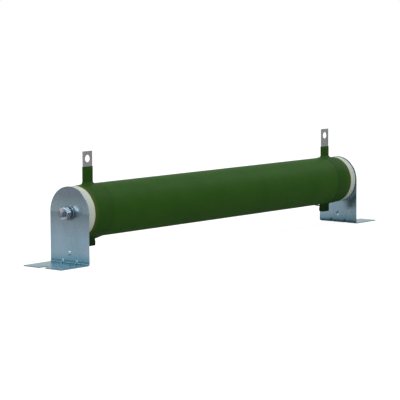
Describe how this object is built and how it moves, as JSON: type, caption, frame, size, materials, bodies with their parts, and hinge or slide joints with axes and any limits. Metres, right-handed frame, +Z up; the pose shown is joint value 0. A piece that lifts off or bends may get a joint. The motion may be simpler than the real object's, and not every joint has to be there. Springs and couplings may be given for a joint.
{
  "type": "braking resistor",
  "caption": "Long tubular wire-wound resistor in a green fired coat, held level between round-topped sheet brackets, with a bare strip terminal near each end.",
  "frame": {"origin": "on the floor, under the middle of the tube", "axes": "+X along the tube, +Z up, so the terminals point to +Z; -Y is the side that the picture shows"},
  "size_m": [0.598, 0.061, 0.126],
  "materials": {
    "tube_ceramic": "unglazed cream porcelain",
    "cap_ceramic": "unglazed white porcelain",
    "gasket_mica": "pressed mica sheet",
    "resistance_wire": "drawn nickel-chromium wire",
    "green_coat": "satin fired silicone coat",
    "terminal_metal": "tinned strip, dull",
    "bracket_zinc": "bluish zinc-plated sheet",
    "fastener_zinc": "zinc-plated, bright"
  },
  "bodies": {
    "root": {"ceramic_tube": "tube_ceramic", "resistance_winding": "resistance_wire", "winding_lead_left": "resistance_wire", "winding_lead_right": "resistance_wire", "green_coat": "green_coat", "terminal_band_left": "terminal_metal", "terminal_band_right": "terminal_metal", "terminal_lug_left": "terminal_metal", "terminal_lug_right": "terminal_metal", "end_cap_left": "cap_ceramic", "end_cap_right": "cap_ceramic", "gasket_left": "gasket_mica", "gasket_right": "gasket_mica", "bracket_left": "bracket_zinc", "bracket_right": "bracket_zinc", "through_rod": "fastener_zinc", "flat_washer_left": "fastener_zinc", "flat_washer_right": "fastener_zinc", "spring_washer_left": "fastener_zinc", "spring_washer_right": "fastener_zinc", "nut_left": "fastener_zinc", "nut_right": "fastener_zinc"}
  },
  "joints": []
}
